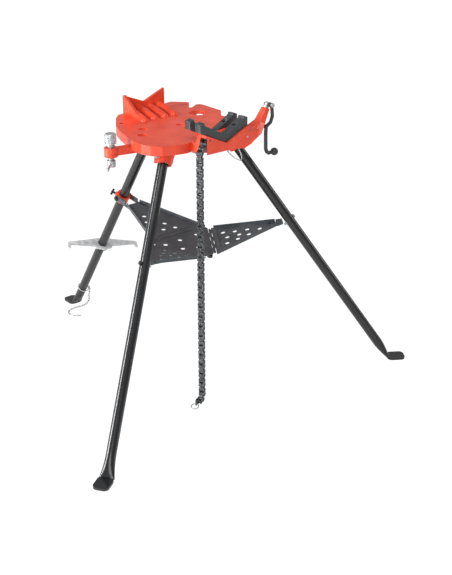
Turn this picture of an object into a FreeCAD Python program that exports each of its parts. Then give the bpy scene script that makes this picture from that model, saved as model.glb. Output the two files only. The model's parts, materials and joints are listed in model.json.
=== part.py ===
import FreeCAD, Part
import os
from math import acos, atan2, cos, degrees, pi, radians, sin, sqrt, tan

# Tripod pipe vise stand. Millimetres, +Z up, origin on the floor at the middle of the feet.
# +Y runs from the vise towards the rear pipe rest, +X towards the crank.

V = FreeCAD.Vector
X_AXIS = V(1, 0, 0)
Y_AXIS = V(0, 1, 0)
Z_AXIS = V(0, 0, 1)

# ---------------------------------------------------------------- legs
leg_od = 31.75
leg_wall = 2.6
leg_end_above_pivot = 14.0
front_heel = V(597.0, -550.0, 0.0)
front_slope_x = 0.571
front_slope_y = 0.38
rear_heel_y = 537.0
rear_slope_y = 0.66
front_pivot_z = 802.0
rear_pivot_z = 814.0
pad_length = 55.0
pad_width = 50.0
pad_thick = 8.0
squash_length = 78.0
running_gap = 0.3
pin_clearance = 0.05

# ---------------------------------------------------------------- base casting
plate_top = 860.0
plate_thick = 12.0
rim_bottom = 830.0
rim_wall = 8.0
outline_left = [(-78, 80), (-106, 52), (-133, 14), (-158, -24), (-180, -76), (-199, -140), (-213, -194), (-214, -238),
                (-202, -270), (-178, -292), (-140, -308), (-102, -316), (-64, -304)]
outline_right = [(112, -304), (152, -254), (190, -180), (172, -142), (213, -92), (212, 29), (158, -4),
                 (150, 14), (199, 56), (152, 103), (110, 95)]
outline_corner_r = 14.0
plate_holes = [(-112, -105, 15.0), (-152, -156, 15.0), (-124, -10, 10.0), (6, -139, 12.0), (137, -66, 29.0)]
rib_thick = 6.0
rib_depth = 14.0
boss_r_low = 27.0
boss_r_high = 37.0
boss_length = 72.0
cheek_half = 27.0
pivot_bolt_r = 5.0

# ---------------------------------------------------------------- pipe rest
rest_y = 68.0
rest_thick = 10.0
rest_x = 17.0
rest_half = 80.0
rest_tip_rise = 64.0
rest_valley_rise = 32.0
gusset_length = 92.0
finger_r = 15.0
finger_count = 4
finger_pitch = 39.0
finger_middle_x = 9.0
finger_rise = 10.0
finger_reach = 100.0
finger_lean = 4.0

# ---------------------------------------------------------------- vise
pipe_x = 15.0
jaw_front_y = -355.0
jaw_thick = 25.0
jaw_gap = 24.0
jaw_half = 86.0
jaw_half_left = 98.0
jaw_valley_z = plate_top + 15.0
jaw_slope = 0.52
jaw_seat_z = plate_top - 10.0
jaw_seat_slope = 0.46
jaw_tip_inset = 16.0
jaw_end_drop = 4.0
jaw_horn = 7.0
tooth_pitch = 6.0
tooth_depth = 2.0
jaw_bolt_r = 5.0
jaw_bolt_x = 45.0
arm_front_y = -362.0
arm_back_y = -280.0
seat_left_x = -66.0
saddle_half = 34.0
arm_outline = [(-73, 14), (-90, -22), (-80, -33), (36, -33), (84, -40), (112, -31), (132, -13), (144, 8)]
ledge_drop = 8.0
neck_y = -319.0
neck_top = V(206.3, neck_y, plate_top + 57.0)
crank_pivot = neck_top + V(6.2, 0, 11.8)
neck_sections = [(0.0, 0.0, 9.5, -11, 11, 28), (-23.8, -40.0, 12.5, -15, 15, 32),
                 (-47.8, -59.0, 16.0, -27, 21, 50), (-94.3, -69.0, 19.5, -43, 29, 90)]
neck_corner_r = 4.0
bail_r = 1.8
bail_route = [(30, 22, -26), (30, 22, -38), (38, 17, -52), (58, 12, -70), (76, 10, -80), (83, 12, -75), (84, 16, -62),
              (80, 22, -48), (80, 22, -30)]
bail_points = [V(x, arm_front_y + y, plate_top + z) for x, y, z in bail_route]
arm_pin_r = 3.5
arm_pin_at = V(95.0, arm_front_y, plate_top - 5.0)
screw_r = 6.0
screw_length = 96.0
screw_bore_r = 6.5
nut_bore_r = 10.5
nut_bore_near = 38.0
nut_bore_far = 92.0
nut_length = 16.0
screw_lead = 5.0
nut_travel = 25.0
neck_collar_r = 9.5
neck_collar_length = 6.5
screw_head_r = 7.5
crank_pin_r = 3.0
crank_prong_y = 19.0
crank_prong_r = 5.5
crank_eye_r = 7.0
crank_pin_head_r = 7.2
crank_r = 6.0
crank_shoulder = 73.0
crank_length = 161.5
crank_reach = 26.0
crank_ball_r = 12.5

# ---------------------------------------------------------------- vise chain
chain_pitch = 17.0
chain_plate_h = 15.0
chain_plate_t = 3.2
chain_width = 19.0
chain_pin_r = 3.4
chain_side_gap = 0.4
chain_hang = V(-93.0, -364.0, plate_top - 22.0)
chain_out = V(-0.895, -0.446, 0)
chain_anchor_back = 40.0
chain_anchor_up = 33.0
ring_r = 12.5
ring_wire_r = 2.0

# ---------------------------------------------------------------- ceiling brace
brace_x = -258.0
brace_y = -139.0
brace_boss_r = 21.0
brace_boss_low = rim_bottom - 21.0
brace_boss_high = rim_bottom + 7.0
brace_screw_r = 8.0
brace_lead = 5.0
brace_rise = 11.0
brace_screw_low = brace_boss_low - brace_rise - 21.0
brace_screw_high = brace_boss_high + 14.0
brace_hub_r = 13.0
brace_hub_h = 20.0
brace_cap_r = 18.0
brace_cap_h = 38.0
brace_cap_neck_r = 12.5
brace_cap_neck_h = 8.0
brace_flute_r = 2.6
brace_flutes = 10
brace_bar_r = 3.5
brace_bar_throw = 46.0
brace_bar_length = brace_bar_throw + 2 * (brace_hub_r + 6)
brace_bar_dir = V(-0.7, -0.714, 0)

# ---------------------------------------------------------------- tray
tray_z = 531.0
tray_low = V(0.0, -328.0, 460.0)
tray_corner_x = 115.0
tray_front_half = 17.0
hinge_start = 52.0
sheet = 2.5
flange_h = 8.5
flange_start = 10.0
leaf_end_from_collar = 62.0
leaf_end_half = 28.0
crease_gap = 5.5
knuckle_r = 4.2
hinge_pin_r = 2.2
knuckle_count = 6
lug_near = 24.0
lug_r = 6.0
lug_thick = 5.0
leg_bolt_r = 4.0
collar_length = 26.0
collar_r = 23.0
knob_x = 12.0
knob_along = 48.0
strap_x = 24.5
strap_thick = 4.0
strap_width = 18.0
trunnion_r = 4.0
rivet_r = 2.5
tray_hole_r = 7.5

# ---------------------------------------------------------------- rear leg fittings
hanger_z = 312.0
hanger_thick = 5.0
hanger_half = 135.0
hanger_depth = 44.0
hanger_turn = -17.0
stop_ring_r = 27.0
stop_ring_h = 8.0
foot_ring_z = 84.0
foot_wire_r = 1.6


def export(name, solids):
    """Write one sub-part, a single solid or a group of separate ones."""
    shape = solids if not isinstance(solids, list) else Part.makeCompound(solids)
    if isinstance(solids, list) and len(solids) == 1:
        shape = solids[0]
    if not shape.isValid():
        print("invalid:", name)
    shape.exportStep("parts/" + name + ".step")
    print(name, len(shape.Solids), round(shape.Volume))


def rod(start, end, r):
    return Part.makeCylinder(r, (end - start).Length, start, end - start)


def tube(start, end, outer, inner):
    return rod(start, end, outer).cut(rod(start, end, inner))


def ball(centre, r, axis):
    return Part.makeSphere(r, centre, axis)


def frame(origin, x_dir, y_dir, z_dir):
    """Placement that takes local x, y, z onto three perpendicular directions."""
    m = FreeCAD.Matrix(x_dir.x, y_dir.x, z_dir.x, origin.x,
                       x_dir.y, y_dir.y, z_dir.y, origin.y,
                       x_dir.z, y_dir.z, z_dir.z, origin.z,
                       0, 0, 0, 1)
    return FreeCAD.Placement(m)


def placed(shape, placement):
    result = shape.copy()
    result.Placement = placement.multiply(result.Placement)
    return result


def unit(v):
    return v * (1.0 / v.Length)


def mirrored(shape):
    return shape.mirror(V(0, 0, 0), X_AXIS)


def rounded_wire(points, radius):
    """Closed wire through the points with an arc at each corner, as large as its sides allow."""
    n = len(points)
    arcs = []
    for i in range(n):
        p, a, b = points[i], points[i - 1], points[(i + 1) % n]
        u, w = unit(a - p), unit(b - p)
        half = acos(max(-1.0, min(1.0, u.dot(w)))) / 2
        room = 0.45 * min((a - p).Length, (b - p).Length)
        cut = min(radius / tan(half), room)
        r = cut * tan(half)
        mid = unit(u + w)
        centre = p + mid * (r / sin(half))
        arcs.append((p + u * cut, centre - mid * r, p + w * cut))
    edges = []
    for i in range(n):
        edges.append(Part.Arc(*arcs[i]).toShape())
        start, end = arcs[i][2], arcs[(i + 1) % n][0]
        if (end - start).Length > 1e-4:
            edges.append(Part.LineSegment(start, end).toShape())
    return Part.Wire(Part.__sortEdges__(edges))


def prism(points, radius, direction):
    wire = rounded_wire(points, radius) if radius else Part.makePolygon(points + [points[0]])
    return Part.Face(wire).extrude(direction)


def xz_prism(profile, y_low, y_high, radius=0.0):
    return prism([V(x, y_low, z) for x, z in profile], radius, V(0, y_high - y_low, 0))


# ---------------------------------------------------------------- where the legs and the tray go
def front_point(z):
    """A point on the left front leg's axis at a height."""
    return V(-(front_heel.x - front_slope_x * z), front_heel.y + front_slope_y * z, z)


def rear_point(z):
    return V(0, rear_heel_y - rear_slope_y * z, z)


front_pivot = front_point(front_pivot_z)
front_dir = unit(front_point(0) - front_pivot)
rear_pivot = rear_point(rear_pivot_z)
rear_dir = unit(rear_point(0) - rear_pivot)
folded_dir = Y_AXIS
front_axis = unit(front_dir.cross(folded_dir))
front_swing = unit(front_axis.cross(front_dir))
front_fold = acos(front_dir.dot(folded_dir))
rear_fold = acos(rear_dir.dot(folded_dir))

tray_corner = front_point(tray_z)
collar_at = rear_point(tray_z)
corner_reach = (tray_corner - front_pivot).Length
collar_reach = (collar_at - rear_pivot).Length
hanger_at = rear_point(hanger_z)
hanger_reach = (hanger_at - rear_pivot).Length
collar_reach_folded = hanger_reach - hanger_thick / 2 - 1.0 - collar_length / 2
collar_travel = collar_reach_folded - collar_reach

leaf_along = unit(collar_at - tray_low)
leaf_length = (collar_at - tray_low).Length
leaf_up = unit(X_AXIS.cross(leaf_along))


def leaf_coords(point, low, along):
    """A point in the rear leaf's own directions: across, along and up."""
    v = point - low
    return V(v.x, v.dot(along), v.dot(unit(X_AXIS.cross(along))))


def folded_leaf():
    """Where the tray's low point and the leaf's direction end up when the legs lie flat."""
    corner = front_pivot + folded_dir * corner_reach
    collar = rear_pivot + folded_dir * collar_reach_folded
    reach = sqrt((tray_corner - tray_low).Length ** 2 - corner.x ** 2)
    dy, dz = corner.y - collar.y, corner.z - collar.z
    span = sqrt(dy * dy + dz * dz)
    along = (leaf_length ** 2 - reach ** 2 + span ** 2) / (2 * span)
    across = sqrt(leaf_length ** 2 - along ** 2)
    ey, ez = dy / span, dz / span
    low = V(0, collar.y + along * ey - across * ez, collar.z + along * ez + across * ey)
    other = V(0, collar.y + along * ey + across * ez, collar.z + along * ez - across * ey)
    if other.z < low.z:
        low = other
    return corner, collar, low, unit(collar - low)


corner_folded, collar_folded, low_folded, along_folded = folded_leaf()
corner_open_local = leaf_coords(tray_corner, tray_low, leaf_along)
corner_folded_local = leaf_coords(corner_folded, low_folded, along_folded)
# The crease is the line in the rear leaf that stays equally far from the corner's two places.
corner_shift = corner_open_local - corner_folded_local
crease_along = tray_corner_x * corner_shift.x / corner_shift.y
crease_end = tray_low - X_AXIS * tray_corner_x + leaf_along * crease_along
crease_dir = unit(crease_end - tray_low)
crease_length = (crease_end - tray_low).Length
front_on_crease = crease_length * tray_front_half / tray_corner_x
side_normal = unit(crease_dir.cross(tray_corner - tray_low))
if side_normal.z < 0:
    side_normal = side_normal * -1
side_out = unit(side_normal.cross(crease_dir))
if side_out.dot(tray_corner - tray_low) < 0:
    side_out = side_out * -1


def fold_numbers():
    """Angles in degrees of the tray's joints between standing and folded, for the left side."""
    crease_local = unit(V(-tray_corner_x, crease_along, 0))
    a = corner_open_local - crease_local * corner_open_local.dot(crease_local)
    b = corner_folded_local - crease_local * corner_folded_local.dot(crease_local)
    turn = atan2(a.cross(b).dot(crease_local), a.dot(b))
    pitch_open = atan2(leaf_along.z, leaf_along.y)
    pitch_folded = atan2(along_folded.z, along_folded.y)
    return degrees(pitch_folded - pitch_open), degrees(turn)


leaf_pitch, leaf_turn = fold_numbers()
print("front fold", round(degrees(front_fold), 4), "rear fold", round(degrees(rear_fold), 4))
print("collar travel", round(collar_travel, 3), "leaf pitch", round(leaf_pitch, 4), "side leaf", round(leaf_turn, 4))
print("nut travel", nut_travel, "brace rise", brace_rise, "brace lead", brace_lead)
print("crease", [round(c, 2) for c in crease_end], "along", round(crease_along, 1))


# ---------------------------------------------------------------- legs
def foot_pad(heel, outward):
    """Flattened end of the tube, bent to lie on the floor and rounded at the tip."""
    side = unit(Z_AXIS.cross(outward))
    half = pad_width / 2
    start = heel - outward * 6
    corners = [start + side * half, start - side * half,
               heel + outward * pad_length - side * half, heel + outward * pad_length + side * half]
    return prism(corners, half * 0.62, V(0, 0, pad_thick))


def leg_tube(pivot, heel, outward, pivot_axis):
    """Steel tube, hollow down to the flattened foot, bored for its pivot bolt."""
    down = unit(heel - pivot)
    top = pivot - down * leg_end_above_pivot
    squash = heel - down * squash_length
    side = unit(Z_AXIS.cross(outward))
    end_normal = unit(down + outward * 0.7)
    end_centre = heel + V(0, 0, pad_thick * 0.62) - outward * 3
    round_end = section(squash, side, down, leg_od / 2, leg_od / 2)
    middle = section(heel - down * squash_length * 0.45, side, down, leg_od * 0.6, leg_od * 0.36)
    flat_end = section(end_centre, side, end_normal, pad_width / 2 - 0.5, pad_thick / 2 + 1)
    body = rod(top, squash, leg_od / 2)
    body = body.fuse(Part.makeLoft([round_end, middle, flat_end], True))
    body = body.fuse(foot_pad(heel, outward))
    floor = Part.makeBox(400, 400, 60, V(heel.x - 200, heel.y - 200, -60))
    body = body.cut(floor)
    body = body.cut(rod(top - down, squash - down * 8, leg_od / 2 - leg_wall))
    bore = pivot_bolt_r + pin_clearance
    body = body.cut(rod(pivot - pivot_axis * 40, pivot + pivot_axis * 40, bore))
    return body


def section(centre, side, normal, half_side, half_other):
    """Round or elliptic wire in the plane of the normal, half_side wide along side."""
    other = unit(normal.cross(side))
    if half_side > half_other:
        curve = Part.Ellipse(V(0, 0, 0), half_side, half_other)
    else:
        curve = Part.Circle(V(0, 0, 0), Z_AXIS, half_side)
    return placed(Part.Wire(curve.toShape()), frame(centre, side, other, unit(side.cross(other))))


front_outward = unit(V(front_dir.x, front_dir.y, 0))


def left_leg():
    leg = leg_tube(front_pivot, front_point(0), front_outward, front_axis)
    bore = leg_bolt_r + pin_clearance
    return leg.cut(rod(tray_corner - front_axis * 40, tray_corner + front_axis * 40, bore))


def rear_leg():
    return leg_tube(rear_pivot, rear_point(0), Y_AXIS, X_AXIS)


def hex_prism(at, direction, across_flats, height):
    side = unit(direction.cross(Z_AXIS if abs(direction.z) < 0.9 else X_AXIS))
    other = unit(direction.cross(side))
    r = across_flats / sqrt(3)
    points = [at + side * (r * cos(k * pi / 3)) + other * (r * sin(k * pi / 3)) for k in range(6)]
    return prism(points, 0, unit(direction) * height)


def bolt(start, end, r, head_flats, head_h):
    """Hexagon-head bolt: the head sits outside the start, the shank runs to the end."""
    direction = unit(end - start)
    head = hex_prism(start - direction * head_h, direction, head_flats, head_h)
    return head.fuse(rod(start, end, r))


def nut(at, direction, r, flats, height):
    body = hex_prism(at, direction, flats, height)
    return body.cut(rod(at - direction, at + direction * (height + 1), r + pin_clearance))


def pivot_bolts():
    left = bolt(front_pivot - front_axis * cheek_half, front_pivot + front_axis * (cheek_half + 10),
                pivot_bolt_r, 15, 6)
    rear = bolt(rear_pivot - X_AXIS * cheek_half, rear_pivot + X_AXIS * (cheek_half + 10), pivot_bolt_r, 15, 6)
    return [left, mirrored(left), rear]


def pivot_nuts():
    left = nut(front_pivot + front_axis * cheek_half, front_axis, pivot_bolt_r, 15, 7)
    rear = nut(rear_pivot + X_AXIS * cheek_half, X_AXIS, pivot_bolt_r, 15, 7)
    return [left, mirrored(left), rear]


# ---------------------------------------------------------------- base casting
def outline_wire(z):
    points = [V(x, y, z) for x, y in outline_left + outline_right]
    return rounded_wire(points, outline_corner_r)


def plate_and_rim():
    outer = outline_wire(rim_bottom)
    body = Part.Face(outer).extrude(V(0, 0, plate_top - rim_bottom))
    inner = outer.makeOffset2D(-rim_wall)
    hollow = Part.Face(inner).extrude(V(0, 0, plate_top - plate_thick - rim_bottom + 1))
    hollow.translate(V(0, 0, -1))
    body = body.cut(hollow)
    for x, y, r in plate_holes:
        body = body.cut(Part.makeCylinder(r, plate_thick * 3, V(x, y, plate_top - plate_thick * 2)))
    return body


def underside_ribs():
    low = plate_top - plate_thick - rib_depth
    ribs = [Part.makeBox(rib_thick, 292, rib_depth + 2, V(x - rib_thick / 2, -270, low)) for x in (-62, 62)]
    for y, right in ((-192, 125), (-40, 98)):
        ribs.append(Part.makeBox(right + 135, rib_thick, rib_depth + 2, V(-135, y, low)))
    return ribs


def leg_boss(pivot, down, axis, swing, overhang):
    """Tapered boss round a leg's top, slotted so that the leg swings to the rear."""
    body = Part.makeCone(boss_r_low, boss_r_high, boss_length, pivot + down * overhang, down * -1)
    above = Part.makeBox(300, 300, 100, V(pivot.x - 150, pivot.y - 150, plate_top - plate_thick / 2))
    body = body.cut(above)
    slab = placed(Part.makeBox(2 * cheek_half, 300, 300, V(-cheek_half, -150, -150)),
                  frame(pivot, axis, swing, axis.cross(swing)))
    body = body.common(slab)
    half = leg_od / 2 + running_gap * 2
    slot = placed(Part.makeBox(2 * half, 120, 90, V(-half, -22.5, -60)),
                  frame(pivot, axis, swing, axis.cross(swing)))
    return body, slot


def pipe_rest():
    """Upright V across the rear, the gusset at its left end and the rounded bending fingers."""
    left, right = rest_x - rest_half, rest_x + rest_half
    base = plate_top - 2
    tip, valley = plate_top + rest_tip_rise, plate_top + rest_valley_rise
    wall = xz_prism([(left, base), (left, tip), (rest_x, valley), (right, tip), (right, base)],
                    rest_y - rest_thick / 2, rest_y + rest_thick / 2)
    front = rest_y - gusset_length
    side = [V(left, rest_y, base), V(left, rest_y, tip), V(left, front, plate_top + 3), V(left, front, base)]
    gusset = prism(side, 0, V(rest_thick, 0, 0))
    parts = [wall, gusset]
    for k in range(finger_count):
        x = finger_middle_x + (k - (finger_count - 1) / 2) * finger_pitch
        root = V(x + finger_lean * 0.6, rest_y - 4, plate_top + finger_rise)
        knee = V(x, rest_y - finger_reach * 0.45, plate_top + finger_rise * 0.8)
        toe = V(x - finger_lean, rest_y - finger_reach, plate_top - 3)
        parts += [rod(root, knee, finger_r), Part.makeSphere(finger_r, knee), rod(knee, toe, finger_r),
                  Part.makeSphere(finger_r, toe)]
    return parts


def jaw_seat_height(x):
    return jaw_seat_z + jaw_seat_slope * abs(x - pipe_x)


def neck_section(dx, dz, half, y_low, y_high, lean):
    """Rounded rectangle across the neck; lean is its axis's angle from upright in degrees."""
    across = V(cos(radians(lean)), 0, -sin(radians(lean)))
    middle = neck_top + V(dx, 0, dz)
    corners = [middle - across * half + Y_AXIS * y_low, middle + across * half + Y_AXIS * y_low,
               middle + across * half + Y_AXIS * y_high, middle - across * half + Y_AXIS * y_high]
    return rounded_wire(corners, neck_corner_r)


def vise_arm():
    """Cradle under the two jaws, running up into the slanted neck that guards the screw."""
    right = pipe_x + jaw_half
    ledge = plate_top + ledge_drop
    seat = [(right + 4, ledge), (right, jaw_seat_height(right)), (pipe_x, jaw_seat_z),
            (seat_left_x, jaw_seat_height(seat_left_x))]
    profile = [(x, plate_top + rise) for x, rise in arm_outline]
    cradle = xz_prism(profile + seat, arm_front_y, arm_back_y)
    behind_chain = Part.makeBox(100, 100, 100, V(seat_left_x - 79, jaw_front_y + jaw_thick + 4, plate_top))
    cradle = cradle.cut(behind_chain)
    neck = Part.makeLoft([neck_section(*s) for s in neck_sections], True, True)
    saddle_top = 26.0
    saddle_gap = 1.0
    low_x, high_x = pipe_x - saddle_half, pipe_x + saddle_half
    rise = [(low_x, -4), (low_x, saddle_top * 0.5), (pipe_x, saddle_top), (high_x, saddle_top * 0.5), (high_x, -4)]
    saddle = [(x, jaw_seat_height(x) + dz) for x, dz in rise]
    low_y = jaw_front_y + jaw_thick + saddle_gap
    rib = xz_prism(saddle, low_y, low_y + jaw_gap - 2 * saddle_gap)
    return [cradle, neck], rib


def jaw_seat_room():
    """The space above the V seat that both jaws fill."""
    left, right = pipe_x - jaw_half_left - 1, pipe_x + jaw_half + 1
    high = plate_top + 100
    points = [(pipe_x, jaw_seat_z), (right, jaw_seat_height(right)), (right, high),
              (left, high), (left, jaw_seat_height(left))]
    return xz_prism(points, jaw_front_y - 20, jaw_front_y + 2 * jaw_thick + jaw_gap + 0.5)


def brace_lug():
    rim = V(-184, -152, 0)
    centre = V(brace_x, brace_y, 0)
    low, high = brace_boss_low + 3, rim_bottom + 12
    run = centre - rim
    side = unit(Z_AXIS.cross(run)) * 15
    inner = rim - unit(run) * 8
    web = prism([inner + side + V(0, 0, low), centre + side * 0.8 + V(0, 0, low),
                 centre - side * 0.8 + V(0, 0, low), inner - side + V(0, 0, low)], 0, V(0, 0, high - low - 8))
    boss = Part.makeCylinder(brace_boss_r, brace_boss_high - brace_boss_low, V(brace_x, brace_y, brace_boss_low))
    return [web, boss]


def vise_base():
    boss_l, slot_l = leg_boss(front_pivot, front_dir, front_axis, front_swing, 17)
    boss_r_, slot_r = mirrored(boss_l), mirrored(slot_l)
    boss_b, slot_b = leg_boss(rear_pivot, rear_dir, X_AXIS, unit(X_AXIS.cross(rear_dir)), 17)
    arm, saddle = vise_arm()
    body = plate_and_rim().fuse(underside_ribs() + [boss_l, boss_r_, boss_b] + brace_lug() + arm + pipe_rest())
    body = body.cut(jaw_seat_room()).fuse(saddle)
    under = Part.makeBox(700, 900, 200, V(-350, -600, plate_top - plate_thick - 200))
    for slot in (slot_l, slot_r, slot_b):
        body = body.cut(slot.common(under))
    bore = pivot_bolt_r + pin_clearance
    body = body.cut([rod(front_pivot - front_axis * 60, front_pivot + front_axis * 60, bore),
                     mirrored(rod(front_pivot - front_axis * 60, front_pivot + front_axis * 60, bore)),
                     rod(rear_pivot - X_AXIS * 60, rear_pivot + X_AXIS * 60, bore)])
    body = body.cut(rod(neck_top - screw_dir * screw_length, neck_top + screw_dir * 20, screw_bore_r))
    body = body.cut(rod(neck_top - screw_dir * nut_bore_far, neck_top - screw_dir * nut_bore_near, nut_bore_r))
    body = body.cut([brace_bore()] + jaw_bolt_bores() + [chain_passage()])
    body = body.cut(chain_bore())
    for at in (bail_points[0], bail_points[-1]):
        body = body.cut(Part.makeCylinder(bail_r + pin_clearance, 20, at - Z_AXIS * 19.5))
    body = body.cut(rod(arm_pin_at - Y_AXIS * 5, arm_pin_at + Y_AXIS * 55, arm_pin_r + pin_clearance))
    return body.removeSplitter()


def brace_bore():
    return Part.makeCylinder(brace_screw_r + pin_clearance, 60, V(brace_x, brace_y, brace_boss_low - 10))


def chain_bore():
    half = chain_width / 2 + anchor_pin_end
    return rod(chain_anchor - chain_across * half, chain_anchor + chain_across * half, chain_pin_r + pin_clearance)


def chain_passage():
    """Slot in the cradle's left end, open below, where the chain leaves its anchor pin."""
    half = chain_width / 2 + 1.5
    top = chain_anchor.z + chain_plate_h / 2 + 1
    slot = Part.makeBox(140, 2 * half, 80, V(-chain_plate_h / 2 - 1, -half, top - 80))
    return placed(slot, frame(V(chain_anchor.x, chain_anchor.y, 0), chain_out, chain_across, Z_AXIS))


def jaw_bolt_bores():
    bores = []
    for y in (jaw_front_y + jaw_thick / 2, jaw_front_y + jaw_thick * 1.5 + jaw_gap):
        for side in (-1, 1):
            at = V(pipe_x + side * jaw_bolt_x, y, 0)
            bores.append(Part.makeCylinder(jaw_bolt_r + pin_clearance, 30, at + V(0, 0, jaw_seat_height(at.x) - 21)))
    return bores


# ---------------------------------------------------------------- vise
def jaw_bite(half):
    """Upper edge of one arm from its dropped end to the valley, with teeth."""
    tip = half - jaw_tip_inset
    crest = jaw_valley_z + jaw_slope * tip
    horn = crest + jaw_horn
    edge = [(half, horn - jaw_end_drop), (tip, horn), (tip - 1, crest)]
    for k in range(int((tip - 10) / tooth_pitch), 0, -1):
        x = 6 + k * tooth_pitch
        rise = jaw_valley_z + jaw_slope * x
        edge += [(x, rise), (x - tooth_pitch / 2, rise - tooth_depth - 1)]
    return edge


def jaw(y_low):
    """Forged V jaw with a toothed bite, bored for its two seat bolts."""
    outline = [(-jaw_half_left, jaw_seat_z + jaw_seat_slope * jaw_half_left), (0, jaw_seat_z),
               (jaw_half, jaw_seat_z + jaw_seat_slope * jaw_half)]
    outline += jaw_bite(jaw_half) + [(0, jaw_valley_z)]
    outline += [(-x, z) for x, z in reversed(jaw_bite(jaw_half_left))]
    body = xz_prism([(x + pipe_x, z) for x, z in outline], y_low, y_low + jaw_thick)
    y = y_low + jaw_thick / 2
    for side in (-1, 1):
        at = V(pipe_x + side * jaw_bolt_x, y, 830)
        body = body.cut(Part.makeCylinder(jaw_bolt_r + pin_clearance, 120, at))
        surface = jaw_valley_z + jaw_slope * jaw_bolt_x
        body = body.cut(Part.makeCylinder(9.0, 60, V(at.x, y, surface - 12)))
    return body


def jaw_bolts():
    bolts = []
    head_low = jaw_valley_z + jaw_slope * jaw_bolt_x - 12
    for y in (jaw_front_y + jaw_thick / 2, jaw_front_y + jaw_thick * 1.5 + jaw_gap):
        for side in (-1, 1):
            at = V(pipe_x + side * jaw_bolt_x, y, head_low)
            low = jaw_seat_height(at.x) - 20
            body = Part.makeCylinder(8.0, 7, at).fuse(Part.makeCylinder(jaw_bolt_r, head_low - low, V(at.x, y, low)))
            socket = hex_prism(at + V(0, 0, 3.5), Z_AXIS, 7, 6)
            bolts.append(body.cut(socket))
    return bolts


screw_dir = unit(crank_pivot - neck_top)
head_base = neck_top + screw_dir * (neck_collar_length + 0.6)


def vise_screw():
    low = neck_top - screw_dir * (screw_length - 4)
    body = rod(low, head_base, screw_r)
    for k in range(12):
        at = low + screw_dir * (4 + k * screw_lead)
        body = body.cut(tube(at, at + screw_dir * (screw_lead * 0.4), screw_r + 1, screw_r - 1.2))
    return body


def neck_collar():
    return tube(neck_top + screw_dir * 0.2, neck_top + screw_dir * neck_collar_length, neck_collar_r,
                screw_r + pin_clearance)


def screw_head():
    """Round head on the screw, cross-bored for the crank's pin."""
    body = Part.makeSphere(screw_head_r, crank_pivot).fuse(rod(head_base, crank_pivot, 7.0))
    below = Part.makeCylinder(20, 30, head_base, screw_dir * -1)
    body = body.cut(below)
    return body.cut(rod(crank_pivot - Y_AXIS * 30, crank_pivot + Y_AXIS * 30, crank_pin_r + pin_clearance))


def chain_nut():
    """Nut that rides on the screw inside the neck and draws the chain tight."""
    low = neck_top - screw_dir * (nut_bore_far - 1)
    body = rod(low, low + screw_dir * nut_length, nut_bore_r - running_gap)
    return body.cut(rod(low - screw_dir, low + screw_dir * (nut_length + 1), screw_r + pin_clearance))


def crank_bar(points, r):
    pieces = []
    for a, b in zip(points, points[1:]):
        pieces += [rod(a, b, r), Part.makeSphere(r, b)]
    return pieces


def crank_handle():
    """Eye beside the screw's head, a bowed prong past the neck, a straight arm and a turned-out end."""
    x, z = crank_pivot.x, crank_pivot.z
    fork = V(x - 3, neck_y, z - crank_shoulder)
    low = z - crank_length
    arm = [(x - 4, fork.z - 24), (x - 3, low + 16), (x + 1, low + 6), (x + 9, low), (x + crank_reach, low)]
    pieces = crank_bar([fork] + [V(a, neck_y, b) for a, b in arm], crank_r)
    pieces += [Part.makeSphere(crank_r + 1.5, fork), rod(fork, fork + Y_AXIS * 9, crank_prong_r)]
    y = neck_y - crank_prong_y
    prong = [V(x, y, z), V(x + 4, y, z - 15), V(x + 6, y, z - crank_shoulder * 0.5),
             V(x + 3, y + 5, z - crank_shoulder * 0.78), fork]
    pieces += crank_bar(prong, crank_prong_r)
    pieces.append(rod(V(x, neck_y - neck_collar_r - 0.4, z), V(x, y - 5, z), crank_eye_r))
    body = pieces[0].fuse(pieces[1:])
    pin_bore = rod(crank_pivot - Y_AXIS * 40, crank_pivot + Y_AXIS * 40, crank_pin_r + pin_clearance)
    return body.cut(pin_bore).removeSplitter()


def crank_pin():
    near = crank_prong_y + crank_prong_r + 0.3
    far = screw_head_r + 0.5
    shank = rod(crank_pivot - Y_AXIS * near, crank_pivot + Y_AXIS * far, crank_pin_r)
    head = rod(crank_pivot - Y_AXIS * (near + 3.0), crank_pivot - Y_AXIS * near, crank_pin_head_r)
    return shank.fuse([head, rod(crank_pivot + Y_AXIS * far, crank_pivot + Y_AXIS * (far + 2.5), 5.0)])


def crank_ball():
    end = crank_pivot + V(crank_reach, 0, -crank_length)
    centre = end + V(8, 0, 0)
    bar = rod(end - X_AXIS * 17, end, crank_r + 0.02).fuse(Part.makeSphere(crank_r + 0.02, end))
    return Part.makeSphere(crank_ball_r, centre).cut(bar)


def wire_bail():
    """Thin wire keeper under the arm, its ends set in the casting."""
    return bent_rod(bail_points, bail_r)


def bent_rod(points, r):
    pieces = []
    for a, b in zip(points, points[1:]):
        pieces += [rod(a, b, r), Part.makeSphere(r, b)]
    return pieces[0].fuse(pieces[1:-1])


# ---------------------------------------------------------------- vise chain
def link_plate(a, b, across, offset, thick, height):
    """Oval link plate between two pins, set off to one side of the chain's middle."""
    along = unit(b - a)
    up = unit(across.cross(along))
    base = frame(a + across * offset, along, up, across)
    r = height / 2
    length = (b - a).Length
    body = Part.makeCylinder(r, thick).fuse(Part.makeCylinder(r, thick, V(length, 0, 0)))
    body = body.fuse(Part.makeBox(length, height * 0.78, thick, V(0, -height * 0.39, 0)))
    for x in (0, length):
        body = body.cut(Part.makeCylinder(chain_pin_r + pin_clearance, thick * 3, V(x, 0, -thick)))
    return placed(body, base)


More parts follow.
